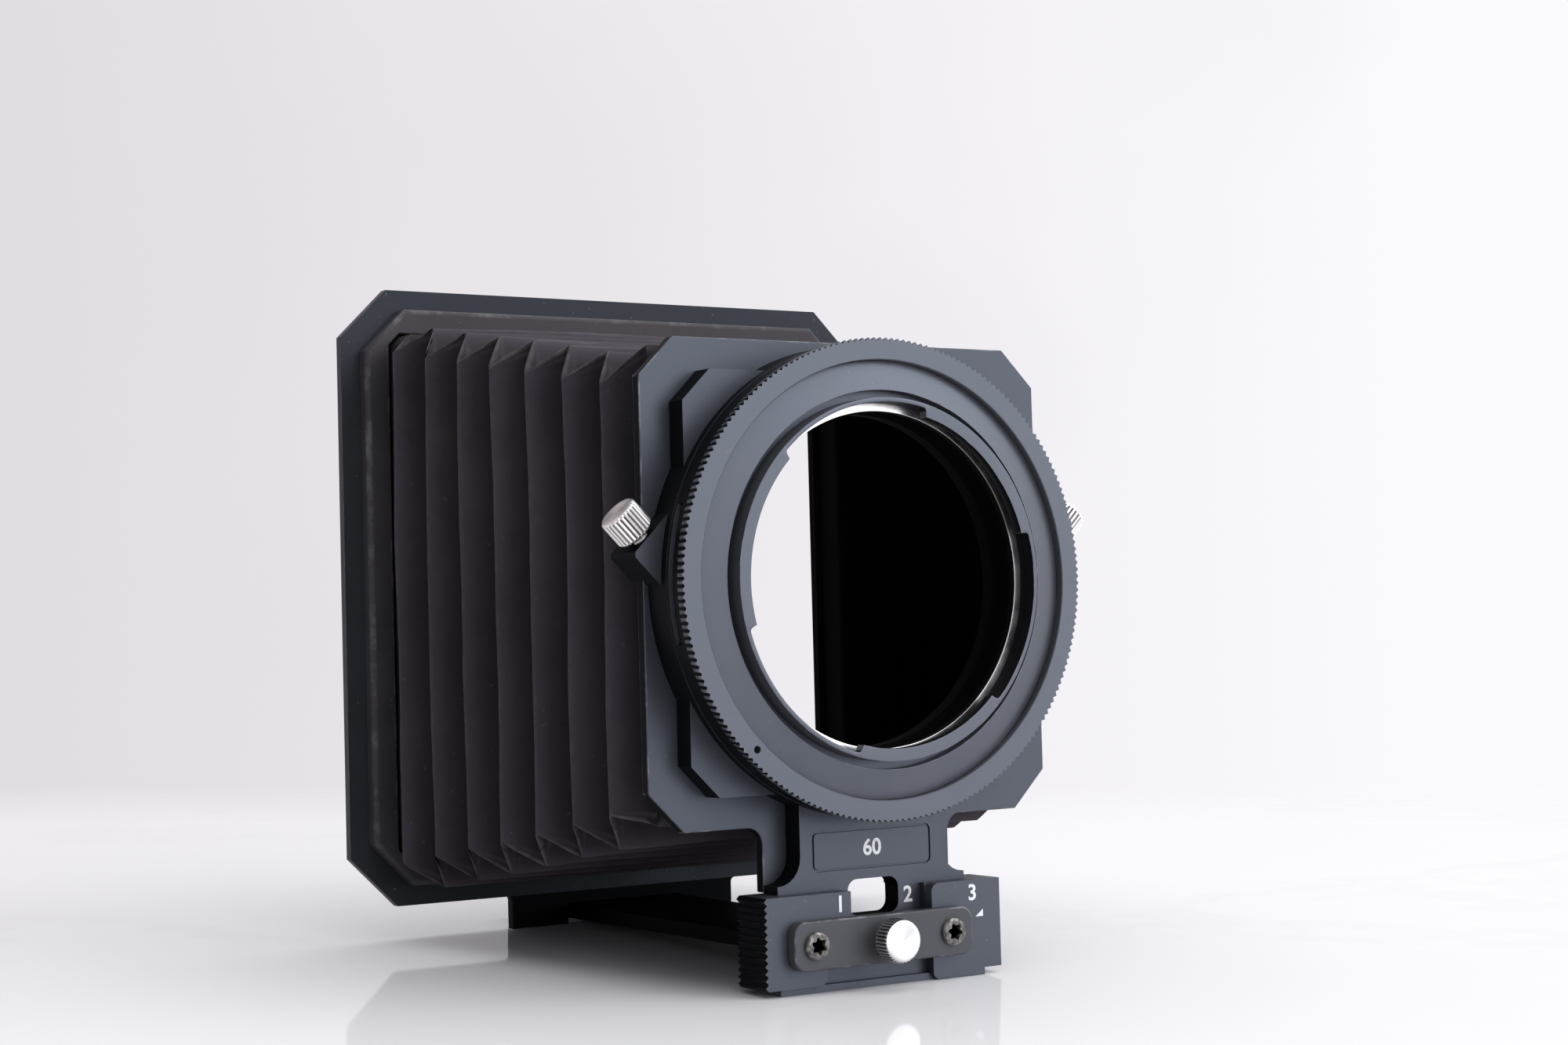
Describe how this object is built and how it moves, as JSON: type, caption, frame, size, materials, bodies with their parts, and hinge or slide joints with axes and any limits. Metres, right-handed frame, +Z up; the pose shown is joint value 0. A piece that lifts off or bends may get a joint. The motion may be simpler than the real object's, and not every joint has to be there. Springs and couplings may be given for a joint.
{
  "type": "bellows lens hood",
  "caption": "Folding lens hood: a pleated bellows between a ring standard and a wide front frame that slides on a rail, with thumb screws and a lock knob.",
  "frame": {"origin": "on the optical axis, in the middle of the lens bore's wall", "axes": "+Y along the optical axis from the lens to the front frame, +Z up, +X to the right seen from the lens ring's side"},
  "size_m": [0.122, 0.1213, 0.133],
  "materials": {
    "body_black": "satin black anodised",
    "ring_black": "satin black anodised, slightly worn",
    "black_screw": "blackened, worn",
    "bellows_cloth": "matte pleated cloth",
    "silver": "bright turned",
    "plug_brass": "plain",
    "felt": "felt"
  },
  "bodies": {
    "rear_standard": {"ring_seat": "body_black", "rear_plate": "body_black", "seat_screws": "black_screw", "rear_retainer": "body_black", "rear_retainer_screws": "black_screw", "bellows": "bellows_cloth", "base_block": "body_black", "keel_plate": "body_black", "keel_screws": "black_screw", "keeper_strap": "body_black", "strap_screws": "black_screw", "rail": "body_black", "stop_screws": "black_screw"},
    "turning_ring": {"grip_ring": "ring_black", "lens_ring": "ring_black", "bayonet_ring": "ring_black"},
    "front_standard": {"front_frame": "body_black", "front_retainer": "body_black", "front_screws": "black_screw", "carriage": "body_black", "carriage_screws": "black_screw", "friction_pad": "felt"},
    "left_thumb_screw": {"left_thumb_knob": "silver", "left_thumb_shank": "silver"},
    "left_plug": {"left_clamp_plug": "plug_brass"},
    "right_thumb_screw": {"right_thumb_knob": "silver", "right_thumb_shank": "silver"},
    "right_plug": {"right_clamp_plug": "plug_brass"},
    "lock_screw": {"lock_knob": "silver", "lock_shank": "silver"},
    "lock_clamp": {"lock_shoe": "plug_brass"}
  },
  "joints": [
    {"name": "front_slide", "type": "slide", "parent": "rear_standard", "child": "front_standard", "axis": [0, 1, 0], "range_m": [-0.048, 0], "deforming": ["bellows"]},
    {"name": "ring_turn", "type": "hinge", "parent": "rear_standard", "child": "turning_ring", "pos_m": [0, 0, 0], "axis": [0, 1, 0], "continuous": true},
    {"name": "left_thumb_feed", "type": "slide", "parent": "rear_standard", "child": "left_plug", "axis": [-0.7071, 0, 0.7071], "range_m": [0, 0.0005]},
    {"name": "left_thumb_turn", "type": "hinge", "parent": "left_plug", "child": "left_thumb_screw", "pos_m": [-0.04482, -0.00075, 0.00778], "axis": [-0.7071, 0, 0.7071], "range_deg": [0, 360]},
    {"name": "right_thumb_feed", "type": "slide", "parent": "rear_standard", "child": "right_plug", "axis": [0.7071, 0, 0.7071], "range_m": [0, 0.0005]},
    {"name": "right_thumb_turn", "type": "hinge", "parent": "right_plug", "child": "right_thumb_screw", "pos_m": [0.04482, -0.00075, 0.00778], "axis": [0.7071, 0, 0.7071], "range_deg": [0, 360]},
    {"name": "lock_feed", "type": "slide", "parent": "rear_standard", "child": "lock_clamp", "axis": [0, -1, 0], "range_m": [0, 0.0005]},
    {"name": "lock_turn", "type": "hinge", "parent": "lock_clamp", "child": "lock_screw", "pos_m": [-0.00165, -0.012, -0.0634], "axis": [0, -1, 0], "range_deg": [0, 360]}
  ],
  "couplings": [
    {"joint": "left_thumb_turn", "follows": "left_thumb_feed", "rad_per_m": 12565},
    {"joint": "right_thumb_turn", "follows": "right_thumb_feed", "rad_per_m": 12565},
    {"joint": "lock_turn", "follows": "lock_feed", "rad_per_m": 12565}
  ]
}
